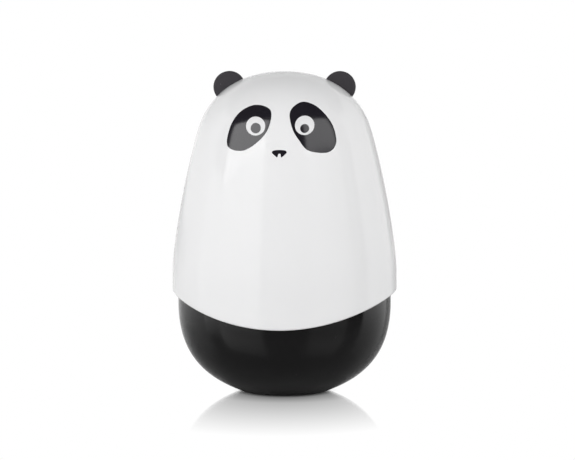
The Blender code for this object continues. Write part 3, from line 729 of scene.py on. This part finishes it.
beech = beech_wood()
wire_low, wire_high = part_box("clapper_rod")
ball_low, ball_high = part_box("clapper_ball")
nut_low, nut_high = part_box("clapper_nut")
ball_radius = 0.0065
ball_height = (ball_low.z + ball_high.z) / 2
ball_bore = 0.0009
wire_radius = 0.0008
eye_circle = 0.0022
eye_wire = 0.0007
eye_height = wire_high.z - eye_wire - eye_circle
stop_radius = 0.0018
stop_thickness = 0.0008
stop_bottom = ball_height + ball_radius + seat_gap
stop_top = stop_bottom + stop_thickness
wire_top = eye_height - eye_circle + eye_wire / 2
clapper_wire = turned(
    [
        (0, wire_top),
        (wire_radius, wire_top),
        (wire_radius, stop_top),
        (stop_radius, stop_top),
        (stop_radius, stop_bottom),
        (wire_radius, stop_bottom),
        (wire_radius, wire_low.z),
        (0, wire_low.z),
    ],
    steps=40,
)
soften(clapper_wire, width=0.0001)
wire_eye = turned(round_wire(eye_circle, eye_wire), steps=72, closed=True)
eye_place = Matrix.Translation((0, 0, eye_height)) @ Matrix.Rotation(math.pi / 2, 4, "X")
bmesh.ops.transform(wire_eye, matrix=eye_place, verts=wire_eye.verts)
clapper_wire = combined(clapper_wire, wire_eye, "UNION")
stand_in("clapper_wire", clapper_wire, drawn_steel, "clapper", "clapper_rod")
bore_angle = math.asin(ball_bore / ball_radius)
ball_angles = [bore_angle + (math.pi - 2 * bore_angle) * step / 48 for step in range(49)]
ball_side = [(ball_radius * math.sin(a), ball_height + ball_radius * math.cos(a)) for a in ball_angles]
ball = soften(turned(ball_side, steps=96, closed=True), width=0.0002)
stand_in("beech_ball_turned", ball, beech, "clapper", "clapper_ball")
nut = turned(disc(nut_high.x, nut_low.z, nut_high.z), steps=6)
nut_bore = pegs([Matrix()], ball_bore, nut_low.z - seat_gap, nut_high.z + seat_gap, steps=32)
nut = combined(soften(nut, width=0.0002), nut_bore, "DIFFERENCE")
stand_in("brass_nut", nut, brass, "clapper", "clapper_nut")


# Cap
# The white upper half: one thin moulding in high-gloss plastic, round in plan, that lifts off the bowl.
# Its rim is low at the face and rises to the sides, and a ring inside comes down on the bowl's edge.
gloss_white = finish(
    "gloss white shell",
    colours=((0.80, 0.80, 0.805), (0.83, 0.83, 0.835)),
    gloss=(0.100, 0.112),
    scales=(24, 300),
    relief=0.0000004,
    specular=0.39,
)
cap_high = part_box("cap_shell")[1]
cap_radius, cap_height = cap_high.x, cap_high.z
crown_pull = 0.0226
shoulder = (0.0340, 0.1071)
shoulder_slope = math.radians(70.2)
shoulder_pull_up = 0.0083
shoulder_pull_down = 0.0098
flank_pull = 0.0160
skirt_height = 0.0473
rim_front = 0.0295
rim_rise = 0.0114
rim_round = 0.0004
rim_band = 0.0020
cap_wall = 0.0019
socket_radius = cap_radius - cap_wall
stop_ring_width = 0.0016
stop_ring_height = 0.0014
stop_ring_bottom = bowl_top + seat_gap
stop_ring_top = stop_ring_bottom + stop_ring_height
stop_ring_radius = socket_radius - stop_ring_width
down = (math.cos(shoulder_slope), -math.sin(shoulder_slope))
crown = curve(
    (0, cap_height),
    (crown_pull, cap_height),
    (shoulder[0] - shoulder_pull_up * down[0], shoulder[1] - shoulder_pull_up * down[1]),
    shoulder,
    points=72,
)
flank = curve(
    shoulder,
    (shoulder[0] + shoulder_pull_down * down[0], shoulder[1] + shoulder_pull_down * down[1]),
    (cap_radius, skirt_height + flank_pull),
    (cap_radius, skirt_height),
    points=56,
)
cap_outline = crown + flank[1:]
inside_bottom = stop_ring_top + stop_ring_width
cap_inside = [point for point in moved_in(cap_outline, cap_wall) if point[1] > inside_bottom]
skirt_rows = [skirt_height + (rim_front + rim_round - skirt_height) * row / 12 for row in range(1, 13)]
cap = turned(
    [
        *cap_outline,
        *((cap_radius, height) for height in skirt_rows),
        (cap_radius - rim_round, rim_front),
        (socket_radius + rim_round, rim_front),
        *((socket_radius, height) for height in skirt_rows[::-1]),
        (socket_radius, skirt_height),
        (socket_radius, stop_ring_bottom),
        (stop_ring_radius, stop_ring_bottom),
        (stop_ring_radius, stop_ring_top),
        *cap_inside[::-2],
        (0, cap_height - cap_wall),
    ],
    steps=224,
)
for vert in cap.verts:
    if vert.co.z < skirt_height:
        lowered = min((skirt_height - vert.co.z) / (skirt_height - rim_front - rim_band), 1)
        vert.co.z += lowered * rim_rise * (vert.co.x / cap_radius) ** 2
ear_offset = 0.0222
ear_stem_radius = 0.0018
ear_stem_bore = ear_stem_radius + press_gap
ear_boss_radius = 0.0048
ear_boss_height = 0.0015
ear_boss_bottom = -cap_wall - ear_boss_height


def ear_seat(side):
    """A frame on the cap where an ear stands, with Z square to the surface."""
    for (r0, z0), (r1, z1) in zip(cap_outline, cap_outline[1:]):
        if r0 <= ear_offset < r1:
            height = z0 + (z1 - z0) * (ear_offset - r0) / (r1 - r0)
            tilt = math.atan2(z0 - z1, r1 - r0)
    return Matrix.Translation((side * ear_offset, 0, height)) @ Matrix.Rotation(side * tilt, 4, "Y")


ear_seats = [ear_seat(-1), ear_seat(1)]
cap = combined(cap, pegs(ear_seats, ear_boss_radius, ear_boss_bottom, -cap_wall / 2), "UNION")
cap = combined(cap, pegs(ear_seats, ear_stem_bore, 2 * ear_boss_bottom, cap_wall), "DIFFERENCE")
stand_in("white_cap", cap, gloss_white, "cap", "cap_shell")


# Ears
# Two flat round discs of soft matt black plastic, hollowed below to sit on the crown.
# Each has a stem that passes through the cap, where a push-on steel clip holds it.
matt_black = finish(
    "matt black ear",
    colours=((0.031, 0.028, 0.033), (0.040, 0.036, 0.042)),
    gloss=(0.55, 0.70),
    scales=(260, 3200),
    relief=0.000012,
    specular=0.4,
)
dusted(matt_black, scale=420, size=0.095, colour=(0.16, 0.15, 0.16))
ear_radius = 0.0063
ear_half = 0.0021
ear_edge = 0.0008
ear_sink = 0.0002
ear_bed = 0.00005
clip_radius = 0.0042
clip_thickness = 0.0010
stem_end = 0.0010
clip_top = ear_boss_bottom - seat_gap
clip_bottom = clip_top - clip_thickness
stem_bottom = clip_bottom - stem_end
for name, seat in zip(("left", "right"), ear_seats):
    ear = soften(turned(disc(ear_radius, -ear_half, ear_half), steps=128), width=ear_edge, segments=6)
    ear_middle = seat @ Vector((0, 0, -ear_sink))
    ear_middle.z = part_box(f"ear_{name}")[1].z - ear_radius
    ear_place = Matrix.Translation(ear_middle) @ Matrix.Rotation(math.pi / 2, 4, "X")
    bmesh.ops.transform(ear, matrix=ear_place, verts=ear.verts)
    bed = turned([*moved_in(crown, ear_bed), (0, crown[-1][1])], steps=192)
    stem = pegs([seat], ear_stem_radius, stem_bottom, ear_radius / 2)
    ear = combined(combined(ear, bed, "DIFFERENCE"), stem, "UNION")
    stand_in(f"black_ear_{name}", ear, matt_black, "cap", f"ear_{name}")
    clip = turned(washer(ear_stem_bore, clip_radius, clip_bottom, clip_top), steps=48, closed=True)
    soften(clip, width=0.0002)
    bmesh.ops.transform(clip, matrix=seat, verts=clip.verts)
    stand_in(f"stem_clip_{name}", clip, zinc_plating, "cap", f"ear_clip_{name}")


# Face
# Eye patches, eyes and nose, pad-printed on the cap in gloss inks, each colour over the one before.
# The outlines are drawn as they are seen from the front, then laid on the cap's curve.
def on_cap(x, z, lift):
    """The point of the cap's face at x and z, moved out square to the surface."""
    for (r0, z0), (r1, z1) in zip(cap_outline, cap_outline[1:]):
        if z0 >= z > z1:
            radius = r0 + (r1 - r0) * (z0 - z) / (z0 - z1)
            out = Vector((z0 - z1, r1 - r0)).normalized()
    y = -math.sqrt(radius * radius - x * x)
    return Vector((x, y, z)) + lift * Vector((out.x * x / radius, out.x * y / radius, out.y))


def drawn(points, steps=12):
    """A flat shape whose edge runs smoothly through points, in millimetres as seen from the front."""
    bm = bmesh.new()
    corners = [Vector((x, 0, z)) / 1000 for x, z in points]
    edge = []
    for i, here in enumerate(corners):
        before = corners[i - 1]
        after = corners[(i + 1) % len(corners)]
        later = corners[(i + 2) % len(corners)]
        start_pull = here + (after - before) / 6
        end_pull = after - (later - here) / 6
        edge += interpolate_bezier(here, start_pull, end_pull, after, steps + 1)[:-1]
    bm.faces.new([bm.verts.new(point) for point in edge])
    return bm


def dot(x, z, width, height):
    """A flat oval, in millimetres as seen from the front."""
    bm = bmesh.new()
    place = Matrix.Translation((x / 1000, 0, z / 1000)) @ Matrix.Rotation(math.pi / 2, 4, "X")
    size = Matrix.Diagonal((width / 2000, height / 2000, 1, 1))
    bmesh.ops.create_circle(bm, cap_ends=True, segments=72, radius=1, matrix=place @ size)
    return bm


def printed(name, bm, ink, layer):
    """Lay a flat shape on the cap's face as a film of ink."""
    film = 0.00004
    mesh_size = 0.001
    bmesh.ops.triangulate(bm, faces=bm.faces)
    for axis in (Vector((1, 0, 0)), Vector((0, 0, 1))):
        reach = [vert.co.dot(axis) for vert in bm.verts]
        for line in range(math.ceil(min(reach) / mesh_size), math.ceil(max(reach) / mesh_size)):
            bmesh.ops.bisect_plane(
                bm,
                geom=bm.verts[:] + bm.edges[:] + bm.faces[:],
                dist=1e-6,
                plane_co=axis * line * mesh_size,
                plane_no=axis,
            )
    extruded = bmesh.ops.extrude_face_region(bm, geom=bm.faces[:])["geom"]
    upper = {vert for vert in extruded if isinstance(vert, bmesh.types.BMVert)}
    for vert in bm.verts:
        vert.co = on_cap(vert.co.x, vert.co.z, film * (layer + 1) if vert in upper else film * (layer - 1))
    bmesh.ops.recalc_face_normals(bm, faces=bm.faces)
    shown(name, bm, ink, "cap")


black_ink = finish(
    "black ink",
    colours=((0.0125, 0.0110, 0.0150), (0.0150, 0.0134, 0.0180)),
    gloss=(0.11, 0.14),
    scales=(120, 900),
    relief=0.0000002,
    specular=0.65,
)
white_ink = finish(
    "white ink",
    colours=((0.74, 0.74, 0.745), (0.76, 0.76, 0.765)),
    gloss=(0.10, 0.14),
    scales=(120, 900),
    relief=0.0000002,
    specular=0.2,
)
left_patch = (
    (-4.5, 106.6),
    (-3.7, 113.6),
    (-9.6, 115.7),
    (-15.8, 112.9),
    (-19.6, 107.1),
    (-20.5, 99.8),
    (-14.7, 98.1),
    (-8.8, 101.3),
)
right_patch = (
    (20.6, 106.9),
    (17.5, 111.8),
    (13.1, 115.6),
    (8.0, 116.8),
    (3.9, 113.2),
    (4.8, 107.0),
    (7.6, 102.2),
    (11.3, 98.3),
    (18.5, 97.5),
    (21.6, 100.8),
)
nose = (
    (-2.42, 98.28),
    (-1.46, 98.54),
    (0.09, 98.62),
    (1.63, 98.54),
    (2.56, 98.28),
    (2.83, 97.78),
    (2.71, 97.32),
    (1.17, 95.95),
    (0.71, 96.03),
    (0.60, 96.70),
    (0.38, 97.10),
    (0.04, 97.24),
    (-0.30, 97.10),
    (-0.50, 96.70),
    (-0.64, 96.03),
    (-1.11, 95.95),
    (-2.30, 96.98),
    (-2.77, 97.48),
    (-2.77, 97.90),
)
printed("eye_patch_left", drawn(left_patch), black_ink, layer=0)
printed("eye_patch_right", drawn(right_patch), black_ink, layer=0)
printed("eye_white_left", dot(-9.40, 107.63, 7.52, 7.22), white_ink, layer=1)
printed("eye_white_right", dot(9.57, 107.94, 7.40, 7.36), white_ink, layer=1)
printed("pupil_left", dot(-9.3, 106.85, 4.0, 4.0), black_ink, layer=2)
printed("pupil_right", dot(9.6, 106.75, 3.4, 3.4), black_ink, layer=2)
printed("nose_print", drawn(nose, steps=6), black_ink, layer=0)


# Floor
# A wide sheet of gloss white acrylic that the toy stands on, which mirrors its foot faintly.
# It reads as plain white to the camera and keeps the toy's shadow close to the foot.
# Near the foot it also carries painted shade: a darker copy seen in reflections and a stronger mirror.
def seen_directly(nodes, link):
    """1 for rays that come from the camera, a reflection or glass."""
    path = nodes.new("ShaderNodeLightPath")
    seen = calculated(nodes, link, "ADD", path.outputs["Is Camera Ray"], path.outputs["Is Glossy Ray"])
    return calculated(nodes, link, "ADD", seen, path.outputs["Is Transmission Ray"], clamp=True)


def mixed(nodes, link, share, first, second):
    """Two shaders mixed, by the share of the second."""
    mix = nodes.new("ShaderNodeMixShader")
    link(share, mix.inputs[0])
    link(first.outputs[0], mix.inputs[1])
    link(second.outputs[0], mix.inputs[2])
    return mix


def acrylic_floor():
    """White acrylic: lit and shaded round the foot, plain white further out, with a soft gloss. Near the
    toy, reflections see a darker copy and the mirror is made stronger: both are painted shade.
    """
    material = bpy.data.materials.new("white acrylic")
    material.use_nodes = True
    nodes, link = material.node_tree.nodes, material.node_tree.links.new
    nodes.remove(nodes["Principled BSDF"])
    place = nodes.new("ShaderNodeTexCoord")
    path = nodes.new("ShaderNodeLightPath")

    def by_distance(near, far, at_near, at_far, stretch=(1, 1, 1)):
        """A value that changes from one distance to another from the foot."""
        stretched = nodes.new("ShaderNodeMapping")
        stretched.inputs["Scale"].default_value = stretch
        link(place.outputs["Object"], stretched.inputs["Vector"])
        distance = nodes.new("ShaderNodeVectorMath")
        distance.operation = "LENGTH"
        link(stretched.outputs["Vector"], distance.inputs[0])
        ramp = nodes.new("ShaderNodeMapRange")
        set_inputs(ramp, {"From Min": near, "From Max": far, "To Min": at_near, "To Max": at_far})
        link(distance.outputs["Value"], ramp.inputs["Value"])
        return ramp.outputs["Result"]

    def by_ray(mirrored, direct):
        """One value for rays from a reflection, another for rays from the camera."""
        choice = nodes.new("ShaderNodeMix")
        link(path.outputs["Is Camera Ray"], choice.inputs["Factor"])
        link(mirrored, choice.inputs["A"])
        link(direct, choice.inputs["B"])
        return choice.outputs["Result"]

    shadow_edge = by_distance(near=0.0158, far=0.0212, at_near=0.0, at_far=1.0)
    far_white = by_distance(near=0.40, far=1.0, at_near=0.0, at_far=1.0)
    # Mirror strength is raised near the foot and fades with distance, so the floor darkens there: painted
    # shade.
    wide_mirror = by_distance(near=0.020, far=0.113, at_near=1.45, at_far=0.0, stretch=(1.5, 1, 1))
    painted_contact_mirror = by_distance(near=0.0175, far=0.0350, at_near=0.48, at_far=0.0)
    far_mirror = by_distance(near=0.5, far=2.0, at_near=1.6, at_far=0.0)
    white_share = by_ray(far_white, shadow_edge)
    gloss_share = by_ray(far_mirror, calculated(nodes, link, "ADD", wide_mirror, painted_contact_mirror))
    blur = nodes.new("ShaderNodeMix")
    set_inputs(blur, {"A": 0.22, "B": 0.03})
    link(path.outputs["Is Camera Ray"], blur.inputs["Factor"])
    lit = nodes.new("ShaderNodeBsdfDiffuse")
    lit.inputs["Color"].default_value = (0.85, 0.85, 0.85, 1)
    # A darker copy of the lit floor, seen only by reflection rays near the toy: painted shade.
    painted_dark_copy = nodes.new("ShaderNodeBsdfDiffuse")
    painted_dark_copy.inputs["Color"].default_value = (0.37, 0.37, 0.37, 1)
    near_sheet = mixed(nodes, link, path.outputs["Is Glossy Ray"], lit, painted_dark_copy)
    plain = nodes.new("ShaderNodeEmission")
    plain.inputs["Strength"].default_value = 1.0
    sheet = mixed(nodes, link, white_share, near_sheet, plain)
    mirror = nodes.new("ShaderNodeBsdfGlossy")
    mirror.inputs["Color"].default_value = (1, 1, 1, 1)
    link(blur.outputs["Result"], mirror.inputs["Roughness"])
    fresnel = nodes.new("ShaderNodeFresnel")
    fresnel.inputs["IOR"].default_value = 1.5
    polish = calculated(nodes, link, "MULTIPLY", fresnel.outputs[0], gloss_share, clamp=True)
    glossy = mixed(nodes, link, polish, sheet, mirror)
    surface = mixed(nodes, link, seen_directly(nodes, link), lit, glossy)
    link(surface.outputs[0], nodes["Material Output"].inputs["Surface"])
    return material


def round_sheet(radius, height, segments):
    """A flat round sheet at a height."""
    bm = bmesh.new()
    place = Matrix.Translation((0, 0, height))
    bmesh.ops.create_circle(bm, cap_ends=True, segments=segments, radius=radius, matrix=place)
    return bm


floor = placed("floor", round_sheet(radius=2.0, height=-0.00005, segments=96), acrylic_floor())


# Studio
# A white studio with a dark wall behind the camera, grey cards at the back, one of them faintly glowing, and
# a ceiling that glows there.
# The camera sees none of these sheets: the glossy shells reflect them.
# Two tall soft boxes stand at the front, the left one the stronger, and a weak fill comes from all round.
def curtain(name, first, last, low, high, paint):
    """An upright curved sheet between two angles as seen from the toy, where 0 is the front."""
    radius = 1.4
    sheet = bmesh.new()
    sheet.edges.new([sheet.verts.new((0, -radius, height)) for height in (low, high)])
    start = Matrix.Rotation(math.radians(first), 3, "Z")
    bmesh.ops.rotate(sheet, verts=sheet.verts, cent=(0, 0, 0), matrix=start)
    bmesh.ops.spin(
        sheet,
        geom=sheet.verts[:] + sheet.edges[:],
        cent=(0, 0, 0),
        axis=(0, 0, 1),
        angle=math.radians(last - first),
        steps=48,
    )
    hung = placed(name, sheet, paint)
    hung.visible_camera = False
    hung.visible_diffuse = False
    hung.visible_transmission = False
    hung.visible_shadow = False


def card_paint(name, dark, light, glow=0.0):
    """Matt paint for a studio sheet, between two greys, which glows where a glow is given: painted light."""
    paint = finish(
        name,
        colours=((dark,) * 3, (light,) * 3),
        gloss=(0.8, 0.9),
        scales=(2, 40),
        relief=0.0001,
        specular=0.1,
    )
    shader = paint.node_tree.nodes["Principled BSDF"]
    set_inputs(shader, {"Emission Color": (1, 1, 1, 1), "Emission Strength": glow})
    return paint


def ceiling_paint():
    """Dark paint that glows more and more towards the back."""
    paint = card_paint("ceiling", dark=0.020, light=0.030)
    nodes, link = paint.node_tree.nodes, paint.node_tree.links.new
    place = nodes.new("ShaderNodeTexCoord")
    axes = nodes.new("ShaderNodeSeparateXYZ")
    link(place.outputs["Object"], axes.inputs[0])
    glow = nodes.new("ShaderNodeMapRange")
    set_inputs(glow, {"From Min": 0.35, "From Max": 1.2, "To Max": 0.5})
    link(axes.outputs["Y"], glow.inputs["Value"])
    link(glow.outputs["Result"], nodes["Principled BSDF"].inputs["Emission Strength"])
    return paint


wall_paint = card_paint("dark wall", dark=0.020, light=0.030)
mid_paint = card_paint("mid grey card", dark=0.58, light=0.62)
grey_paint = card_paint("grey card", dark=0.78, light=0.82)
# The pale card at the back also glows faintly: painted light that the shells reflect.
pale_glowing_paint = card_paint("pale glowing card", dark=0.92, light=0.95, glow=0.10)
curtain("studio_wall", first=-91, last=96, low=-0.1, high=1.2, paint=wall_paint)
curtain("grey_card_right", first=145, last=168, low=0.0, high=0.36, paint=mid_paint)
curtain("glowing_card_back", first=145, last=245, low=0.36, high=1.2, paint=pale_glowing_paint)
curtain("grey_card_left", first=-160, last=-120, low=0.0, high=0.11, paint=grey_paint)
ceiling = placed("studio_ceiling", round_sheet(radius=1.45, height=1.15, segments=64), ceiling_paint())
ceiling.visible_camera = False
ceiling.visible_transmission = False

world = bpy.data.worlds.new("studio")
bpy.context.scene.world = world
world.use_nodes = True
world_nodes, world_link = world.node_tree.nodes, world.node_tree.links.new
fill_light = world_nodes["Background"]
set_inputs(fill_light, {"Color": (1, 1, 1, 1), "Strength": 0.67})
white_room = world_nodes.new("ShaderNodeBackground")
set_inputs(white_room, {"Color": (1, 1, 1, 1), "Strength": 1.0})
room_seen = seen_directly(world_nodes, world_link)
world_mix = mixed(world_nodes, world_link, room_seen, fill_light, white_room)
world_link(world_mix.outputs[0], world_nodes["World Output"].inputs["Surface"])


def soft_box(name, turn, first, last, low, high, radiance, mirrored=True):
    """An upright soft box, between two angles as seen from the toy; turn is where it faces square on."""
    distance = 0.75
    watts_per_radiance = 4
    left, right = (distance * math.tan(math.radians(angle - turn)) for angle in (first, last))
    angle = math.radians(turn)
    facing = Vector((-math.sin(angle), math.cos(angle), 0))
    along = Vector((math.cos(angle), math.sin(angle), 0))
    lamp = bpy.data.lights.new(name, "AREA")
    lamp.shape = "RECTANGLE"
    lamp.size = right - left
    lamp.size_y = high - low
    lamp.energy = watts_per_radiance * radiance * lamp.size * lamp.size_y
    box = bpy.data.objects.new(name, lamp)
    box.location = -distance * facing + along * (left + right) / 2 + Vector((0, 0, (low + high) / 2))
    box.rotation_euler = facing.to_track_quat("-Z", "Y").to_euler()
    box.visible_camera = False
    box.visible_glossy = mirrored
    bpy.context.scene.collection.objects.link(box)


soft_box("soft_box_left", turn=-18, first=-73, last=-21.5, low=0.41, high=0.905, radiance=2.3)
soft_box("soft_box_left_low", turn=-18, first=-73, last=-21.5, low=0.0, high=0.41, radiance=1.15)
soft_box("soft_box_left_side", turn=-82, first=-91, last=-73, low=0.0, high=0.28, radiance=1.15)
soft_box("soft_box_right", turn=42, first=31, last=74, low=0.41, high=0.885, radiance=1.5)
soft_box("soft_box_right_low", turn=42, first=31, last=74, low=0.0, high=0.41, radiance=0.4)
soft_box("fill_right", turn=60, first=20, last=95, low=0.1, high=0.8, radiance=0.67, mirrored=False)
bpy.context.scene.view_settings.view_transform = "Standard"


# Camera
# A long lens a metre away, a little above the toy and a little to its left, as in the photograph.
camera_target = Vector((0, 0, 0.060))
camera_distance = 1.0
camera_turn = math.radians(3.24)
camera_rise = math.radians(5.09)
aim_right = 0.00116
aim_up = 0.00459
camera_back = Vector(
    (
        math.sin(camera_turn) * math.cos(camera_rise),
        -math.cos(camera_turn) * math.cos(camera_rise),
        math.sin(camera_rise),
    )
)
camera_right = Vector((math.cos(camera_turn), math.sin(camera_turn), 0))
camera_up = camera_back.cross(camera_right)
lens = bpy.data.cameras.new("camera")
lens.sensor_fit = "HORIZONTAL"
lens.sensor_width = 36.0
lens.lens = 156.03
camera = bpy.data.objects.new("camera", lens)
camera.location = camera_target + camera_distance * camera_back
aim = camera_target + aim_right * camera_right + aim_up * camera_up
camera.rotation_euler = (aim - camera.location).to_track_quat("-Z", "Y").to_euler()
bpy.context.scene.collection.objects.link(camera)
bpy.context.scene.camera = camera
